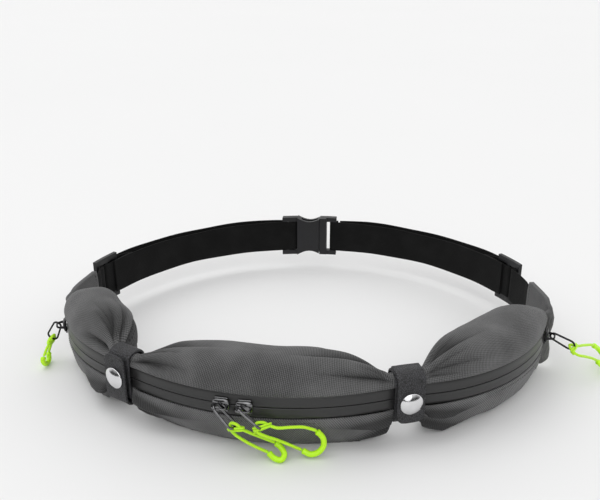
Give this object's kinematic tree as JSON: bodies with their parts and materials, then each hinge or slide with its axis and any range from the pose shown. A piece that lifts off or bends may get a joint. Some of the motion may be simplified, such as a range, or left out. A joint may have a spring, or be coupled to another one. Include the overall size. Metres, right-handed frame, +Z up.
{
  "type": "waist pack",
  "caption": "Running waist pack: three zipped fabric pouches gathered at two snapped neck straps, on an elastic belt with adjusters and a side-release buckle.",
  "frame": {"origin": "middle of the underside of the whole pack's box, without the pull cords, on the surface that the pouches stand on", "axes": "+X to the wearer's left along the belt's longest side, +Y from the centre pouch to the buckle, +Z up"},
  "size_m": [0.4217, 0.3148, 0.0625],
  "materials": {
    "fabric": "matte",
    "lining": "matte",
    "zip_tape": "satin",
    "webbing": "matte",
    "leather": "satin",
    "plastic": "satin",
    "chrome": "polished",
    "gunmetal": "satin",
    "black_metal": "satin",
    "lime_cord": "satin"
  },
  "bodies": {
    "front": {"left_upper_panel": "fabric", "left_lower_panel": "fabric", "left_back_panel": "lining", "left_zip_tape_upper": "zip_tape", "left_zip_tape_lower": "zip_tape", "centre_upper_panel": "fabric", "centre_lower_panel": "fabric", "centre_back_panel": "lining", "centre_zip_tape_upper": "zip_tape", "centre_zip_tape_lower": "zip_tape", "right_upper_panel": "fabric", "right_lower_panel": "fabric", "right_back_panel": "lining", "right_zip_tape_upper": "zip_tape", "right_zip_tape_lower": "zip_tape", "left_neck_band": "leather", "left_snap_stud": "chrome", "right_neck_band": "leather", "right_snap_stud": "chrome"},
    "left_strap": {"left_wing": "fabric", "left_strap_wing_run": "webbing", "left_strap_inner_run": "webbing", "left_strap_outer_run": "webbing", "buckle_socket": "plastic"},
    "left_adjuster": {"left_tri_glide": "plastic", "left_strap_looped_end": "webbing"},
    "left_flap": {"left_neck_flap": "leather", "left_snap_cap": "chrome", "left_snap_socket": "chrome"},
    "right_strap": {"right_wing": "fabric", "right_strap_wing_run": "webbing", "right_strap_inner_run": "webbing", "right_strap_outer_run": "webbing", "buckle_plug": "plastic"},
    "right_adjuster": {"right_tri_glide": "plastic", "right_strap_looped_end": "webbing"},
    "right_flap": {"right_neck_flap": "leather", "right_snap_cap": "chrome", "right_snap_socket": "chrome"},
    "latch_upper": {"buckle_latch_upper": "plastic"},
    "latch_lower": {"buckle_latch_lower": "plastic"},
    "left_end_slider": {"left_end_slider": "black_metal"},
    "left_end_pull": {"left_end_pull": "black_metal"},
    "left_end_cord": {"left_end_cord": "lime_cord", "left_end_grip": "lime_cord"},
    "centre_left_slider": {"centre_left_slider": "gunmetal"},
    "centre_left_pull": {"centre_left_pull": "gunmetal"},
    "centre_left_cord": {"centre_left_cord": "lime_cord", "centre_left_grip": "lime_cord"},
    "centre_right_slider": {"centre_right_slider": "gunmetal"},
    "centre_right_pull": {"centre_right_pull": "gunmetal"},
    "centre_right_cord": {"centre_right_cord": "lime_cord", "centre_right_grip": "lime_cord"},
    "right_end_slider": {"right_end_slider": "black_metal"},
    "right_end_pull": {"right_end_pull": "black_metal"},
    "right_end_cord": {"right_end_cord": "lime_cord", "right_end_grip": "lime_cord"}
  },
  "joints": [
    {"name": "right_strap_swing", "type": "hinge", "parent": "front", "child": "right_strap", "pos_m": [0.17752, -0.01887, 0.033], "axis": [0, 0, -1], "range_deg": [0, 35]},
    {"name": "left_strap_swing", "type": "hinge", "parent": "front", "child": "left_strap", "pos_m": [-0.17876, -0.04441, 0.033], "axis": [0, 0, 1], "range_deg": [0, 35]},
    {"name": "right_adjuster_slide", "type": "hinge", "parent": "right_strap", "child": "right_adjuster", "pos_m": [-0.00071, -0.0304, 0.033], "axis": [0, 0, 1], "range_deg": [0, 9]},
    {"name": "left_adjuster_slide", "type": "hinge", "parent": "left_strap", "child": "left_adjuster", "pos_m": [-0.00071, -0.0304, 0.033], "axis": [0, 0, -1], "range_deg": [0, 9]},
    {"name": "buckle_latch_upper_press", "type": "hinge", "parent": "right_strap", "child": "latch_upper", "pos_m": [-0.00671, 0.153, 0.043], "axis": [0, -1, 0], "range_deg": [0, 4], "stiffness_Nm_per_rad": 0.02},
    {"name": "buckle_latch_lower_press", "type": "hinge", "parent": "right_strap", "child": "latch_lower", "pos_m": [-0.00671, 0.153, 0.023], "axis": [0, 1, 0], "range_deg": [0, 4], "stiffness_Nm_per_rad": 0.02},
    {"name": "left_end_slider_travel", "type": "hinge", "parent": "front", "child": "left_end_slider", "pos_m": [-0.06806, -0.00683, 0.033], "axis": [0, 0, 1], "range_deg": [0, 34.9]},
    {"name": "centre_left_slider_travel", "type": "hinge", "parent": "front", "child": "centre_left_slider", "pos_m": [-0.01548, 0.02877, 0.033], "axis": [0, 0, -1], "range_deg": [0, 19.1]},
    {"name": "centre_right_slider_travel", "type": "hinge", "parent": "front", "child": "centre_right_slider", "pos_m": [-0.01548, 0.02877, 0.033], "axis": [0, 0, 1], "range_deg": [0, 13.5]},
    {"name": "right_end_slider_travel", "type": "hinge", "parent": "front", "child": "right_end_slider", "pos_m": [0.0499, 0.00158, 0.033], "axis": [0, 0, -1], "range_deg": [0, 54.4]},
    {"name": "left_end_pull_flip", "type": "hinge", "parent": "left_end_slider", "child": "left_end_pull", "pos_m": [-0.18308, -0.05659, 0.033], "axis": [-0.3971, 0.9178, 0], "range_deg": [0, 120]},
    {"name": "left_end_cord_swing", "type": "hinge", "parent": "left_end_pull", "child": "left_end_cord", "pos_m": [-0.18859, -0.05398, 0.02325], "axis": [0.0791, 0.9731, 0.2165], "range_deg": [0, 45]},
    {"name": "centre_left_pull_flip", "type": "hinge", "parent": "centre_left_slider", "child": "centre_left_pull", "pos_m": [-0.04151, -0.15108, 0.033], "axis": [-0.9897, 0.1432, 0], "range_deg": [0, 120]},
    {"name": "centre_left_cord_swing", "type": "hinge", "parent": "centre_left_pull", "child": "centre_left_cord", "pos_m": [-0.03356, -0.15282, 0.02488], "axis": [-0.6928, 0.1375, -0.7079], "range_deg": [0, 45]},
    {"name": "centre_right_pull_flip", "type": "hinge", "parent": "centre_right_slider", "child": "centre_right_pull", "pos_m": [-0.02627, -0.15263, 0.033], "axis": [-0.9982, 0.0594, 0], "range_deg": [0, 120]},
    {"name": "centre_right_cord_swing", "type": "hinge", "parent": "centre_right_pull", "child": "centre_right_cord", "pos_m": [-0.01775, -0.15279, 0.02528], "axis": [-0.618, -0.4038, -0.6746], "range_deg": [0, 45]},
    {"name": "right_end_pull_flip", "type": "hinge", "parent": "right_end_slider", "child": "right_end_pull", "pos_m": [0.17852, -0.02993, 0.033], "axis": [-0.238, -0.9713, 0], "range_deg": [0, 120]},
    {"name": "right_end_cord_swing", "type": "hinge", "parent": "right_end_pull", "child": "right_end_cord", "pos_m": [0.18871, -0.0336, 0.02914], "axis": [-0.4006, -0.8915, -0.2116], "range_deg": [0, 45]},
    {"name": "right_snap_flap_open", "type": "hinge", "parent": "front", "child": "right_flap", "pos_m": [0.07551, -0.12693, 0.0503], "axis": [-0.9353, -0.3539, 0], "range_deg": [0, 100]},
    {"name": "left_snap_flap_open", "type": "hinge", "parent": "front", "child": "left_flap", "pos_m": [-0.11539, -0.12143, 0.0142], "axis": [0.883, -0.4693, 0], "range_deg": [0, 80]}
  ],
  "couplings": [
    {"joint": "left_strap_swing", "follows": "right_strap_swing", "ratio": 1}
  ]
}
